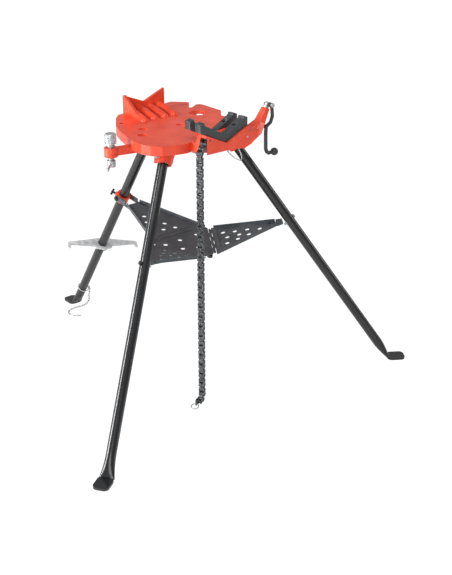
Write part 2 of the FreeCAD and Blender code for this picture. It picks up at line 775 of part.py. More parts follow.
def chain_pieces(pins, first_outer):
    """Outer plates, inner plates and pins of a run of chain through the given pin centres."""
    outer, inner = [], []
    half = chain_width / 2
    inner_half = half - chain_plate_t - chain_side_gap
    for k in range(len(pins) - 1):
        is_outer = (k % 2 == 0) == first_outer
        start = half if is_outer else inner_half
        thick = chain_plate_t if is_outer else inner_half - chain_side_gap
        for side in (-1, 1):
            offset = side * start - (thick if side > 0 else 0)
            plate = link_plate(pins[k], pins[k + 1], chain_across, offset, thick, chain_plate_h)
            (outer if is_outer else inner).append(plate)
    return outer, inner, [chain_pin(p) for p in pins]


def chain_pin(at):
    half = chain_width / 2 + 0.8
    return rod(at - chain_across * half, at + chain_across * half, chain_pin_r)


chain_out = unit(chain_out)
chain_across = unit(Z_AXIS.cross(chain_out))
chain_anchor = chain_hang - chain_out * chain_anchor_back + Z_AXIS * chain_anchor_up
chain_floor_z = chain_plate_h / 2 + 0.3
hang_count = int((chain_hang.z - chain_floor_z) / chain_pitch)
lead_count = 3
tail_count = 3
anchor_pin_end = 8.0
tongue_thick = 5.0


def chain_layout():
    """Pin centres: a short run from the anchor, the hanging run and the tail on the floor."""
    lead = [chain_anchor + (chain_hang - chain_anchor) * (k / lead_count) for k in range(lead_count + 1)]
    hang = [chain_hang - Z_AXIS * (k * chain_pitch) for k in range(hang_count + 1)]
    drop = hang[-1].z - chain_floor_z
    first = hang[-1] + chain_out * sqrt(chain_pitch ** 2 - drop ** 2) - Z_AXIS * drop
    tail = [hang[-1]] + [first + chain_out * (chain_pitch * k) for k in range(tail_count)]
    return lead, hang, tail


def ring_tongue(tail):
    """Single flat link at the chain's end that holds the ring."""
    return link_plate(tail[-2], tail[-1], chain_across, -tongue_thick / 2, tongue_thick, chain_plate_h * 0.8)


def ring_eye(tail):
    """Middle of the ring's wire where it bears against the end of the last link's hole."""
    return tail[-1] + chain_out * (chain_pin_r - ring_wire_r - 0.55)


def end_ring(tail):
    """Round wire ring through the last link, its far side resting on the floor."""
    drop = tail[-1].z - ring_wire_r - 0.3
    lean = drop / (2 * ring_r)
    out = unit(chain_out * sqrt(1 - lean ** 2) - Z_AXIS * lean)
    normal = unit(out.cross(chain_across))
    return Part.makeTorus(ring_r, ring_wire_r, ring_eye(tail) + out * ring_r, normal)


# ---------------------------------------------------------------- ceiling brace
def brace_screw():
    at = V(brace_x, brace_y, 0)
    hub_low = brace_screw_low
    body = Part.makeCylinder(brace_hub_r, brace_hub_h, at + V(0, 0, hub_low))
    body = body.fuse(Part.makeCylinder(brace_screw_r, brace_screw_high - hub_low, at + V(0, 0, hub_low)))
    return body.cut(brace_bar_bore())


def brace_bar_bore():
    middle = V(brace_x, brace_y, brace_screw_low + brace_hub_h / 2)
    return rod(middle - brace_bar_dir * 30, middle + brace_bar_dir * 30, brace_bar_r + pin_clearance)


def brace_bar():
    middle = V(brace_x, brace_y, brace_screw_low + brace_hub_h / 2)
    start = middle - brace_bar_dir * (brace_hub_r + 6)
    end = start + brace_bar_dir * brace_bar_length
    bar = rod(start, end, brace_bar_r)
    return bar.fuse([ball(start, brace_bar_r + 2, brace_bar_dir), ball(end, brace_bar_r + 2, brace_bar_dir)])


def brace_cap():
    """Fluted head with a flat top that bears on the ceiling, free to turn on the screw's plain end."""
    at = V(brace_x, brace_y, brace_screw_high - 8)
    chamfer = 3.0
    neck = Part.makeCylinder(brace_cap_neck_r, brace_cap_neck_h, at)
    grip_h = brace_cap_h - brace_cap_neck_h - chamfer
    grip = Part.makeCylinder(brace_cap_r, grip_h, at + Z_AXIS * brace_cap_neck_h)
    top = Part.makeCone(brace_cap_r, brace_cap_r - chamfer, chamfer, at + Z_AXIS * (brace_cap_h - chamfer))
    body = neck.fuse([grip, top])
    for k in range(brace_flutes):
        turn = 2 * pi * k / brace_flutes
        foot = at + V(cos(turn), sin(turn), 0) * brace_cap_r + Z_AXIS * (brace_cap_neck_h + 2)
        body = body.cut(Part.makeCylinder(brace_flute_r, brace_cap_h, foot))
    return body.cut(Part.makeCylinder(brace_screw_r + pin_clearance, 8.3, at - V(0, 0, 0.1)))


# ---------------------------------------------------------------- tray
leaf_frame = frame(tray_low, X_AXIS, leaf_along, leaf_up)


def rear_outline():
    """Half outline of the rear leaf in its own plane, left side, set back from the crease."""
    local = unit(V(-tray_corner_x, crease_along, 0))
    inward = V(local.y, -local.x, 0)
    if inward.x < 0:
        inward = inward * -1
    back = inward * crease_gap
    front_along = back.y - (tray_front_half + back.x) * local.y / local.x
    corner = V(-tray_corner_x, crease_along, 0) + back
    end_along = leaf_length - leaf_end_from_collar
    return [V(-tray_front_half, front_along, 0), corner, V(-leaf_end_half, end_along, 0)]


def pan_hole(x, y):
    return Part.makeCylinder(tray_hole_r, 20, V(x, y, -10))


def swage(x0, y0, x1, y1):
    """Pressed stiffening rib standing 3 mm up from the sheet, with rounded ends."""
    a, b = V(x0, y0, 0), V(x1, y1, 0)
    rib = rod(a, b, 4.2).fuse([Part.makeSphere(4.2, a), Part.makeSphere(4.2, b)])
    return rib.common(Part.makeBox(900, 900, 10, V(-450, -450, sheet / 2 - 0.2)))


def flange(a, b, inside):
    """Upturned edge along a to b, as thick as the sheet; inside points into the leaf."""
    along = unit(b - a)
    inward = unit(inside - along * inside.dot(along)) * sheet
    points = [a, b, b + inward, a + inward]
    return prism([p - V(0, 0, sheet / 2) for p in points], 0, V(0, 0, flange_h + sheet))


rear_holes = [(-24, 360), (14, 352), (-42, 321), (5, 284), (-62, 262), (-24, 251), (19, 244), (49, 168), (-22, 164),
              (-82, 162), (-49, 113), (0, 94)]
side_holes = [(164, 41), (154, 80), (148, 121), (134, 161), (127, 51), (127, 91), (114, 122), (101, 83), (89, 46)]


def tray_rear_leaf():
    left = rear_outline()
    right = [V(-p.x, p.y, 0) for p in reversed(left)]
    points = left + right
    body = prism([p - V(0, 0, sheet / 2) for p in points], 0, V(0, 0, sheet))
    for side in (-1, 1):
        a, b = V(side * left[1].x * -1, left[1].y, 0), V(side * left[2].x * -1, left[2].y, 0)
        run = unit(b - a)
        body = body.fuse(flange(a + run * flange_start, b, V(-side, 0, 0)))
    body = body.fuse([swage(-74, 203, 60, 203), swage(-66, 223, 66, 223)])
    for x, y in rear_holes:
        body = body.cut(pan_hole(x, y))
    body = placed(body, leaf_frame)
    knob_bore = placed(Part.makeCylinder(4, 30, V(knob_x, knob_along, -15)), leaf_frame)
    body = body.cut(knob_bore)
    for side in (-1, 1):
        for y in strap_rivet_along():
            bore = Part.makeCylinder(rivet_r + pin_clearance, 30, V(side * strap_x, y, -15))
            body = body.cut(placed(bore, leaf_frame))
    body = body.fuse([knuckles_shape(0), mirrored(knuckles_shape(0))])
    body = body.cut([hinge_bore(), mirrored(hinge_bore())])
    return body.removeSplitter()


def leaf_inward():
    local = unit(V(-tray_corner_x, crease_along, 0))
    inward = X_AXIS * local.y - leaf_along * local.x
    if inward.x < 0:
        inward = inward * -1
    return unit(inward)


def knuckles(parity, origin, along, inward):
    """Rolled hinge knuckles on the crease, every other one belonging to each leaf."""
    start, end = hinge_start, crease_length - 12.0
    step = (end - start) / knuckle_count
    pieces = []
    for k in range(knuckle_count):
        if k % 2 != parity:
            continue
        a = origin + along * (start + k * step + 0.4)
        b = origin + along * (start + (k + 1) * step - 0.4)
        pieces.append(rod(a, b, knuckle_r))
        normal = unit(along.cross(inward))
        tab = placed(Part.makeBox((b - a).Length, crease_gap + 2, sheet, V(0, 0, -sheet / 2)),
                     frame(a, along, inward, normal))
        pieces.append(tab)
    return pieces[0].fuse(pieces[1:]) if len(pieces) > 1 else pieces[0]


def knuckles_shape(parity):
    return knuckles(parity, tray_low, crease_dir, leaf_inward() if parity == 0 else side_out)


def hinge_bore():
    first = tray_low + crease_dir * (hinge_start - 10)
    return rod(first, tray_low + crease_dir * crease_length, hinge_pin_r + pin_clearance)


def hinge_pin():
    a = tray_low + crease_dir * (hinge_start - 3)
    b = tray_low + crease_dir * (crease_length - 9)
    ends = [Part.makeSphere(hinge_pin_r + 1.2, a), Part.makeSphere(hinge_pin_r + 1.2, b)]
    return rod(a, b, hinge_pin_r).fuse(ends)


side_frame = frame(tray_low, crease_dir, side_out, crease_dir.cross(side_out))


def side_local(point):
    v = point - tray_low
    return V(v.dot(crease_dir), v.dot(side_out), 0)


def side_pan_points():
    """Outline of the left leaf in its plane: along the crease, then out to a blunt corner by the leg."""
    corner = side_local(tray_corner)
    far = V(crease_length, 0, 0)
    near = V(front_on_crease, 0, 0)
    inner = unit((near + far) * 0.5 - corner)
    blunt = corner + inner * 46.0
    across = V(-inner.y, inner.x, 0)

    def meet(a, b):
        d = b - a
        t = (blunt - a).dot(inner) / d.dot(inner)
        return a + d * t

    near_end, far_end = meet(near, corner), meet(far, corner)
    slope_near = (near_end.x - near.x) / near_end.y
    slope_far = (far_end.x - far.x) / far_end.y
    start = V(near.x + slope_near * crease_gap, crease_gap, 0)
    finish = V(far.x + slope_far * crease_gap, crease_gap, 0)
    return start, near_end, far_end, finish, inner, corner


def tray_side_leaf():
    start, near_end, far_end, finish, inner, corner = side_pan_points()
    up = 1.0 if side_frame.multVec(V(0, 0, 1)).z > side_frame.multVec(V(0, 0, 0)).z else -1.0
    body = prism([p - V(0, 0, sheet / 2) for p in (start, near_end, far_end, finish)], 0, V(0, 0, sheet))
    for a, b, hint in ((start, near_end, V(1, 0, 0)), (finish, far_end, V(-1, 0, 0))):
        run = unit(b - a)
        wall = flange(a + run * flange_start, b, hint)
        if up < 0:
            wall = wall.mirror(V(0, 0, 0), Z_AXIS)
        body = body.fuse(wall)
    rib = swage(80, 20, 190, 20)
    body = body.fuse(rib if up > 0 else rib.mirror(V(0, 0, 0), Z_AXIS))
    for x, y in side_holes:
        body = body.cut(pan_hole(x, y))
    body = placed(body, side_frame).fuse(knuckles_shape(1))
    return body.cut([hinge_bore(), rivet_bore(0), rivet_bore(1)]).removeSplitter()


def lug_direction():
    """From the corner pivot towards the leaf, square to the leg as nearly as the leaf's plane allows."""
    start, near_end, far_end, finish, inner, corner = side_pan_points()
    return unit(side_frame.multVec(inner) - side_frame.multVec(V(0, 0, 0)))


def corner_bracket():
    """Forged corner piece riveted under the leaf, ending in a round lug beside the leg."""
    start, near_end, far_end, finish, inner, corner = side_pan_points()
    lug_dir = lug_direction()
    lug = rod(tray_corner + lug_dir * lug_near, tray_corner + lug_dir * (lug_near + lug_thick), lug_r)
    up = 1.0 if side_frame.multVec(V(0, 0, 1)).z > side_frame.multVec(V(0, 0, 0)).z else -1.0
    across = V(-inner.y, inner.x, 0)
    a = corner + inner * (lug_near + 1)
    b = corner + inner * 78.0
    points = [a + across * 4, a - across * 4, b - across * 17, b + across * 17]
    depth = 4.0
    top = -up * sheet / 2
    plate = prism([p + V(0, 0, top) for p in points], 0, V(0, 0, -up * depth))
    c = corner + inner * 45
    outline = [a + across * 7, a - across * 7, c - across * 12, c + across * 12]
    neck = prism([p - V(0, 0, up * (sheet / 2 + depth)) for p in outline], 0, V(0, 0, up * (sheet + 3 * depth)))
    body = placed(plate.fuse(neck), side_frame).fuse(lug)
    return body.cut([rivet_bore(k) for k in (0, 1)])


def rivet_at(k):
    start, near_end, far_end, finish, inner, corner = side_pan_points()
    across = V(-inner.y, inner.x, 0)
    return corner + inner * 68.0 + across * (9 if k else -9)


def rivet_bore(k):
    at = rivet_at(k)
    return placed(Part.makeCylinder(rivet_r + pin_clearance, 40, at - V(0, 0, 20)), side_frame)


def bracket_rivets():
    rivets = []
    up = 1.0 if side_frame.multVec(V(0, 0, 1)).z > side_frame.multVec(V(0, 0, 0)).z else -1.0
    for k in (0, 1):
        at = rivet_at(k)
        low, high = -(sheet / 2 + 4.0), sheet / 2
        if up < 0:
            low, high = -sheet / 2, sheet / 2 + 4.0
        shank = Part.makeCylinder(rivet_r, high - low, at + V(0, 0, low))
        heads = [Part.makeCone(5.0, 3.0, 2.0, at + Z_AXIS * high), Part.makeCone(5.0, 3.0, 2.0, at + Z_AXIS * low, -Z_AXIS)]
        rivets.append(placed(shank.fuse(heads), side_frame))
    return rivets


def leg_tray_bolt():
    """Bolt through the leg; its nut end faces the leaf's lug."""
    lug_dir = front_axis
    out = leg_od / 2
    body = bolt(tray_corner - lug_dir * (out + 0.4), tray_corner + lug_dir * (lug_near - 0.6), leg_bolt_r, 12, 5.5)
    return body


def leg_tray_nut():
    at = tray_corner + front_axis * (leg_od / 2 + 0.4)
    body = Part.makeCylinder(4.9, lug_near - 1.0 - leg_od / 2 - 0.4, at, front_axis)
    return body.cut(rod(at - front_axis * 5, at + front_axis * 20, leg_bolt_r + pin_clearance))


def tray_collar():
    """Sliding collar round the rear leg with a lug each side for the tray's straps."""
    a = collar_at - rear_dir * (collar_length / 2)
    b = collar_at + rear_dir * (collar_length / 2)
    body = rod(a, b, collar_r)
    screw_dir_ = collar_screw_dir()
    body = body.fuse(rod(collar_at, collar_at + screw_dir_ * (collar_r + 5), 8.5))
    ear = strap_x - strap_thick / 2 - running_gap
    body = body.fuse(rod(collar_at - X_AXIS * ear, collar_at + X_AXIS * ear, 11.0))
    body = body.cut(rod(a - rear_dir * 5, b + rear_dir * 5, leg_od / 2 + running_gap))
    for side in (-1, 1):
        face = V(side * ear, collar_at.y, collar_at.z)
        body = body.cut(rod(face, face + X_AXIS * (side * 30), 60))
    body = body.cut(rod(collar_at, collar_at + screw_dir_ * 60, 4.0 + pin_clearance))
    return body.cut(rod(collar_at - X_AXIS * 60, collar_at + X_AXIS * 60, trunnion_r + pin_clearance))


def collar_screw_dir():
    back = unit(X_AXIS.cross(rear_dir) * -1)
    if back.y < 0:
        back = back * -1
    return unit(X_AXIS * -0.62 + back * 0.785)


def collar_screw():
    d = collar_screw_dir()
    start = collar_at + d * (leg_od / 2 + 0.35)
    end = collar_at + d * (collar_r + 17)
    body = rod(start, end, 4.0)
    side = unit(d.cross(rear_dir))
    wing = rod(end - side * 11, end + side * 11, 3.2)
    tips = [ball(end - side * 11, 4.2, side), ball(end + side * 11, 4.2, side)]
    return body.fuse([wing, ball(end, 5.0, side)] + tips)


def collar_pins():
    pins = []
    for side in (-1, 1):
        inner = V(side * (leg_od / 2 + 0.8), collar_at.y, collar_at.z)
        outer = V(side * (strap_x + strap_thick / 2 + 0.3), collar_at.y, collar_at.z)
        pins.append(rod(inner, outer, trunnion_r).fuse(rod(outer, outer + X_AXIS * side * 5, 7.5)))
    return pins


def tray_straps():
    """Two flat straps from the collar's pins down to the rear leaf."""
    straps = []
    end_along = leaf_length - leaf_end_from_collar
    for side in (-1, 1):
        x0 = side * strap_x - strap_thick / 2
        low = -sheet / 2 - strap_thick
        corner = V(x0, end_along - 6, -strap_width / 2)
        arm = Part.makeBox(strap_thick, leaf_end_from_collar + 6, strap_width, corner)
        eye = Part.makeCylinder(strap_width / 2 + 2, strap_thick, V(x0, leaf_length, 0), X_AXIS)
        arm = arm.fuse(eye).cut(Part.makeBox(60, 20, 30, V(-30 + side * strap_x, end_along - 10, -sheet / 2)))
        foot = Part.makeBox(14, 40, strap_thick, V(side * strap_x - 7, end_along - 34, low))
        body = arm.fuse(foot)
        body = body.cut(Part.makeCylinder(trunnion_r + pin_clearance, 40, V(side * strap_x - 20, leaf_length, 0), X_AXIS))
        for y in strap_rivet_along():
            body = body.cut(Part.makeCylinder(rivet_r + pin_clearance, 30, V(side * strap_x, y, -15)))
        straps.append(placed(body, leaf_frame))
    return straps


def strap_rivet_along():
    end_along = leaf_length - leaf_end_from_collar
    return (end_along - 28, end_along - 12)


def strap_rivets():
    rivets = []
    for side in (-1, 1):
        for y in strap_rivet_along():
            low, high = -sheet / 2 - strap_thick, sheet / 2
            at = V(side * strap_x, y, 0)
            shank = Part.makeCylinder(rivet_r, high - low, at + V(0, 0, low))
            heads = [Part.makeCone(4.5, 2.8, 1.8, at + Z_AXIS * high), Part.makeCone(4.5, 2.8, 1.8, at + Z_AXIS * low, -Z_AXIS)]
            rivets.append(placed(shank.fuse(heads), leaf_frame))
    return rivets


def tray_knob():
    """Push knob under the tray's low point, its stem riveted through the sheet."""
    at = V(knob_x, knob_along, 0)
    stem = Part.makeCylinder(3.95, 14, at - Z_AXIS * 12)
    grip = Part.makeCylinder(9, 7, at - Z_AXIS * (sheet / 2 + 14))
    neck = Part.makeCylinder(6, 7, at - Z_AXIS * (sheet / 2 + 7))
    return placed(stem.fuse([grip, neck, Part.makeCone(7, 4, 2.2, at + Z_AXIS * (sheet / 2))]), leaf_frame)


# ---------------------------------------------------------------- rear leg fittings
def hanger_frame():
    """Square to the leg, turned a little so that the right tip comes forward."""
    normal = rear_dir * -1
    turn = radians(hanger_turn)
    fore = unit(X_AXIS.cross(normal)) * -1
    long_dir = X_AXIS * cos(turn) + fore * sin(turn)
    return frame(hanger_at, long_dir, unit(normal.cross(long_dir)), normal)


def hanger_plate():
    """Leg keeper: a long plate on the rear leg whose hooked tips catch the folded front legs."""
    h, d = hanger_half, hanger_depth
    half = [(h - 4, 8), (h, 0), (h, -17), (h - 5, -22), (h - 11, -17), (h - 13, -6), (34, -14), (30, -24), (18, -25)]
    points = [V(x, y, 0) for x, y in half] + [V(0, -31, 0)]
    points += [V(-x, y, 0) for x, y in reversed(half)]
    points += [V(-60, d / 2 - 6, 0), V(-20, d / 2, 0), V(20, d / 2, 0), V(60, d / 2 - 6, 0)]
    body = prism([p - V(0, 0, hanger_thick / 2) for p in points], 3.0, V(0, 0, hanger_thick))
    body = body.cut(Part.makeCylinder(leg_od / 2 + running_gap, 40, V(0, 0, -20)))
    return placed(body, hanger_frame())


def stop_ring():
    top = hanger_at + rear_dir * (hanger_thick / 2 + running_gap)
    body = tube(top, top + rear_dir * stop_ring_h, stop_ring_r, leg_od / 2 + pin_clearance)
    return body


foot_ring_r = leg_od / 2 + foot_wire_r + 2.4
foot_ring_centre = rear_point(foot_ring_z) + X_AXIS * 2.3


def foot_ring():
    """Loose wire ring round the rear leg just above its foot, lying against one side."""
    return Part.makeTorus(foot_ring_r, foot_wire_r, foot_ring_centre, rear_dir)


def small_link(at, along, up, length, width, r):
    """Oval wire link lying in the plane of along and its side."""
    side = unit(up.cross(along))
    half = length / 2 - width / 2
    pieces = []
    for s in (-1, 1):
        pieces.append(rod(at + side * (s * width / 2) - along * half, at + side * (s * width / 2) + along * half, r))
        centre = at + along * (s * half)
        arc = Part.makeTorus(width / 2, r, V(0, 0, 0), Z_AXIS)
        keep = Part.makeBox(width * 2, width * 4, 4 * r + 1, V(0, -width * 2, -2 * r))
        arc = placed(arc.common(keep), frame(centre, along * s, unit(up.cross(along * s)), up))
        pieces.append(arc)
    return pieces[0].fuse(pieces[1:])


small_pitch = 9.0
small_wire_r = 1.0
small_width = 5.0
snap_width = 8.0
snap_length = 17.0
small_route = [(41, 503, 46), (37, 500, 26), (25, 493, 10), (6, 491, 3.8), (-24, 493, 3.7),
               (-54, 490, 3.7), (-76, 472, 3.7), (-77, 446, 3.7), (-58, 424, 3.7)]


def snap_link():
    """Larger first link, hooked over the foot ring's wire and leading down to the small chain."""
    wire = foot_ring_centre + X_AXIS * foot_ring_r
    along = unit(X_AXIS * 0.62 + rear_dir * 0.785)
    up = unit(rear_dir.cross(X_AXIS))
    inside = snap_width / 2 - small_wire_r - foot_wire_r - 0.1
    middle = wire + along * (snap_length / 2 - snap_width / 2 + inside)
    end = middle + along * (snap_length / 2)
    return small_link(middle, along, up, snap_length, snap_width, small_wire_r), end, along


def foot_chain():
    """Light keeper chain hanging from the foot ring and lying on the floor."""
    first, hook, along = snap_link()
    curve = Part.BSplineCurve()
    curve.interpolate([hook - along * 1.6, hook + along * 9 - Z_AXIS * 2] + [V(*p) for p in small_route])
    places = curve.discretize(Distance=small_pitch)
    links = [first]
    for k, (a, b) in enumerate(zip(places, places[1:])):
        at, along = (a + b) * 0.5, unit(b - a)
        flat = Z_AXIS if abs(along.z) < 0.6 else X_AXIS
        up = unit(flat - along * flat.dot(along))
        up = unit(up + along.cross(up) * (-1 if k % 2 else 1))
        links.append(small_link(at, along, up, small_pitch + 2.9 * small_wire_r, small_width, small_wire_r))
    return links


# ---------------------------------------------------------------- write the sub-parts
os.makedirs("parts", exist_ok=True)

export("vise_base", vise_base())
export("front_jaw", jaw(jaw_front_y))
export("rear_jaw", jaw(jaw_front_y + jaw_thick + jaw_gap))
export("jaw_bolts", jaw_bolts())
export("leg_pivot_bolts", pivot_bolts())
export("leg_pivot_nuts", pivot_nuts())
export("arm_pin", rod(arm_pin_at - Y_AXIS * 1.2, arm_pin_at + Y_AXIS * 54.5, arm_pin_r))
export("neck_collar", neck_collar())
export("wire_bail", wire_bail())
export("vise_screw", vise_screw())
export("screw_head", screw_head())
export("chain_nut", chain_nut())
export("crank_handle", crank_handle())
export("crank_pin", crank_pin())
export("crank_ball", crank_ball())

lead_pins, hang_pins, tail_pins = chain_layout()
outer_plates, inner_plates, pins = chain_pieces(lead_pins, True)
pins[0] = rod(chain_anchor - chain_across * (chain_width / 2 + anchor_pin_end - 0.5),
              chain_anchor + chain_across * (chain_width / 2 + anchor_pin_end - 0.5), chain_pin_r)
export("chain_lead_plates", outer_plates + inner_plates)
export("chain_lead_pins", pins)
outer_plates, inner_plates, pins = chain_pieces(hang_pins, lead_count % 2 == 0)
export("chain_outer_plates", outer_plates)
export("chain_inner_plates", inner_plates)
export("chain_pins", pins[1:])
outer_plates, inner_plates, pins = chain_pieces(tail_pins[:-1], (lead_count + hang_count) % 2 == 0)
export("chain_tail_plates", outer_plates + inner_plates)
export("chain_tail_pins", pins[1:])
export("chain_tongue", ring_tongue(tail_pins))
export("chain_end_ring", end_ring(tail_pins))

left = left_leg()
export("front_left_leg", left)
export("front_right_leg", mirrored(left))
export("rear_leg", rear_leg())
export("left_tray_bolt", leg_tray_bolt())
export("right_tray_bolt", mirrored(leg_tray_bolt()))
export("left_tray_nut", leg_tray_nut())
export("right_tray_nut", mirrored(leg_tray_nut()))

export("tray_rear_leaf", tray_rear_leaf())
side_leaf = tray_side_leaf()
export("tray_left_leaf", side_leaf)
export("tray_right_leaf", mirrored(side_leaf))
export("tray_hinge_pins", [hinge_pin(), mirrored(hinge_pin())])
bracket = corner_bracket()
export("left_corner_bracket", bracket)
export("right_corner_bracket", mirrored(bracket))
rivets = bracket_rivets()
export("left_bracket_rivets", rivets)
export("right_bracket_rivets", [mirrored(r) for r in rivets])
export("tray_straps", tray_straps())
export("strap_rivets", strap_rivets())
export("tray_knob", tray_knob())
export("tray_collar", tray_collar())
export("collar_pins", collar_pins())
export("collar_screw", collar_screw())

export("brace_screw", brace_screw())
export("brace_bar", brace_bar())
export("brace_cap", brace_cap())
export("hanger_plate", hanger_plate())
export("hanger_stop_ring", stop_ring())
export("foot_ring", foot_ring())
export("foot_chain", foot_chain())
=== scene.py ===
import bmesh
import bpy
import json
import math
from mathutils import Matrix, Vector


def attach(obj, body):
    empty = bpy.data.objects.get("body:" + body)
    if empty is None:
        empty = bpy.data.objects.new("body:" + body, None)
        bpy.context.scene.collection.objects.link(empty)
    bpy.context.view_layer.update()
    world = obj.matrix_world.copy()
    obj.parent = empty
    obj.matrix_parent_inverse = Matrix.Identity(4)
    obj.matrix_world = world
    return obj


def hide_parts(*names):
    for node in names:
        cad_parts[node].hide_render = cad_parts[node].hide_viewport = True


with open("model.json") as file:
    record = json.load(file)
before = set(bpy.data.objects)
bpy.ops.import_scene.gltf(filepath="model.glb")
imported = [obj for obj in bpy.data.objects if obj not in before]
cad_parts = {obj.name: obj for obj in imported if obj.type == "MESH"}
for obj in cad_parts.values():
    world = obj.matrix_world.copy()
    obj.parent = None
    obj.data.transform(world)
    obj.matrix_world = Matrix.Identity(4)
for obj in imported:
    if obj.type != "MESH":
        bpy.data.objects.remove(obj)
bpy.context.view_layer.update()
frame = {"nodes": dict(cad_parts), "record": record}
nodes = frame["nodes"]
print("frame loaded:", len(nodes), "nodes")


# ---- small helpers for colours, node trees and meshes
def linear(hexColour):
    def part(value):
        value /= 255.0
        return value / 12.92 if value <= 0.04045 else ((value + 0.055) / 1.055) ** 2.4
    digits = hexColour.lstrip("#")
    return tuple(part(int(digits[k:k + 2], 16)) for k in (0, 2, 4)) + (1.0,)


def addNode(tree, kind, settings=None, links=None):
    node = tree.nodes.new(kind)
    for name, value in (settings or {}).items():
        if isinstance(name, int) or name in node.inputs:
            node.inputs[name].default_value = value
        else:
            setattr(node, name, value)
    for name, source in (links or {}).items():
        tree.links.new(source, node.inputs[name])
    return node


def newMaterial(name, **shaderValues):
    material = bpy.data.materials.new(name)
    material.use_nodes = True
    tree = material.node_tree
    tree.nodes.clear()
    shader = addNode(tree, "ShaderNodeBsdfPrincipled", shaderValues)
    addNode(tree, "ShaderNodeOutputMaterial", links={"Surface": shader.outputs[0]})
    return material, tree, shader


def objectPlace(tree):
    return addNode(tree, "ShaderNodeTexCoord").outputs["Object"]


def noise(tree, place, sizeMm, detail=3.0, roughness=0.55):
    settings = {"Scale": 1000.0 / sizeMm, "Detail": detail, "Roughness": roughness}
    return addNode(tree, "ShaderNodeTexNoise", settings, {"Vector": place}).outputs["Fac"]


def ramp(tree, factor, stops):
    node = addNode(tree, "ShaderNodeValToRGB", links={"Fac": factor})
    elements = node.color_ramp.elements
    while len(elements) < len(stops):
        elements.new(0.5)
    for element, (position, colour) in zip(elements, stops):
        element.position = position
        element.color = linear(colour) if isinstance(colour, str) else (colour, colour, colour, 1.0)
    return node.outputs["Color"]


bevelSamples = 6


def bump(tree, height, depthMm, strength=1.0, edgeMm=0.0):
    settings = {"Distance": depthMm / 1000.0, "Strength": strength}
    links = {"Height": height}
    if edgeMm:
        rounded = addNode(tree, "ShaderNodeBevel", {"Radius": edgeMm / 1000.0, "samples": bevelSamples})
        links["Normal"] = rounded.outputs["Normal"]
    return addNode(tree, "ShaderNodeBump", settings, links).outputs["Normal"]


def wearMask(tree, place, edgeMm, patchMm, low, high):
    # worn paint shows where the shape turns sharply, broken up by patches
    rounded = addNode(tree, "ShaderNodeBevel", {"Radius": edgeMm / 1000.0, "samples": bevelSamples})
    edge = rounded.outputs["Normal"]
    flat = addNode(tree, "ShaderNodeNewGeometry").outputs["Normal"]
    product = addNode(tree, "ShaderNodeVectorMath", {"operation": "DOT_PRODUCT"}, {0: edge, 1: flat})
    turn = product.outputs["Value"]
    patch = noise(tree, place, patchMm, 4.0)
    amount = addNode(tree, "ShaderNodeMath", {"operation": "SUBTRACT", 0: 1.0}, {1: turn}).outputs[0]
    broken = addNode(tree, "ShaderNodeMath", {"operation": "MULTIPLY"}, {0: amount, 1: patch}).outputs[0]
    return ramp(tree, broken, [(low, 0.0), (high, 1.0)])


def mixColour(tree, factor, first, second):
    settings = {"data_type": "RGBA"}
    node = addNode(tree, "ShaderNodeMix", settings)
    tree.links.new(factor, node.inputs["Factor"])
    for socket, value in ((node.inputs[6], first), (node.inputs[7], second)):
        if isinstance(value, str):
            socket.default_value = linear(value)
        else:
            tree.links.new(value, socket)
    return node.outputs[2]


# ---- materials, named for what the real ones are
enamel = {
    "colour": "#E24526", "shade": "#D33A1D", "light": "#EC5232",
    "sandMm": 2.2, "lumpMm": 14.0, "poolMm": 60.0, "edgeMm": 1.6, "sandShare": 0.35, "reliefMm": 0.3,
    "shader": {"Specular IOR Level": 0.45, "Coat Weight": 0.25, "Coat Roughness": 0.25},
}


def makeCastingEnamel():
    # sprayed red-orange enamel over sand-cast iron: glossy, with the mould's grain under it
    material, tree, shader = newMaterial("castingEnamel", **enamel["shader"])
    place = objectPlace(tree)
    pool = noise(tree, place, enamel["poolMm"], 3.0)
    stops = [(0.30, enamel["shade"]), (0.52, enamel["colour"]), (0.75, enamel["light"])]
    colour = ramp(tree, pool, stops)
    tree.links.new(colour, shader.inputs["Base Color"])
    grain = noise(tree, place, enamel["sandMm"], 4.0, 0.6)
    lumps = noise(tree, place, enamel["lumpMm"], 2.0)
    relief = {"operation": "MULTIPLY_ADD", 1: enamel["sandShare"]}
    height = addNode(tree, "ShaderNodeMath", relief, {0: grain, 2: lumps}).outputs[0]
    surface = bump(tree, height, enamel["reliefMm"], 0.2, enamel["edgeMm"])
    tree.links.new(surface, shader.inputs["Normal"])
    tree.links.new(ramp(tree, grain, [(0.3, 0.28), (0.7, 0.42)]), shader.inputs["Roughness"])
    return material


forging = {
    "colour": "#4B4F51", "dark": "#383B3D", "bare": "#8D9194",
    "scaleMm": 5.0, "wornEdgeMm": 1.2, "wornPatchMm": 6.0, "reliefMm": 0.5,
}


def makeJawForging():
    # drop-forged alloy steel, heat treated and oiled: grey-black scale, bare metal on the biting edges
    material, tree, shader = newMaterial("jawForging", Metallic=0.35, Roughness=0.5)
    place = objectPlace(tree)
    scale = noise(tree, place, forging["scaleMm"], 5.0, 0.65)
    colour = ramp(tree, scale, [(0.32, forging["dark"]), (0.62, forging["colour"])])
    worn = wearMask(tree, place, forging["wornEdgeMm"], forging["wornPatchMm"], 0.04, 0.16)
    tree.links.new(mixColour(tree, worn, colour, forging["bare"]), shader.inputs["Base Color"])
    tree.links.new(bump(tree, scale, forging["reliefMm"], 0.4), shader.inputs["Normal"])
    tree.links.new(ramp(tree, scale, [(0.3, 0.42), (0.7, 0.6)]), shader.inputs["Roughness"])
    return material


tube = {
    "dark": "#141517", "colour": "#1B1C1F", "cloudMm": 90.0, "peelMm": 3.0, "reliefMm": 0.08,
    "shader": {"Specular IOR Level": 0.35, "Coat Weight": 0.5, "Coat Roughness": 0.1},
}


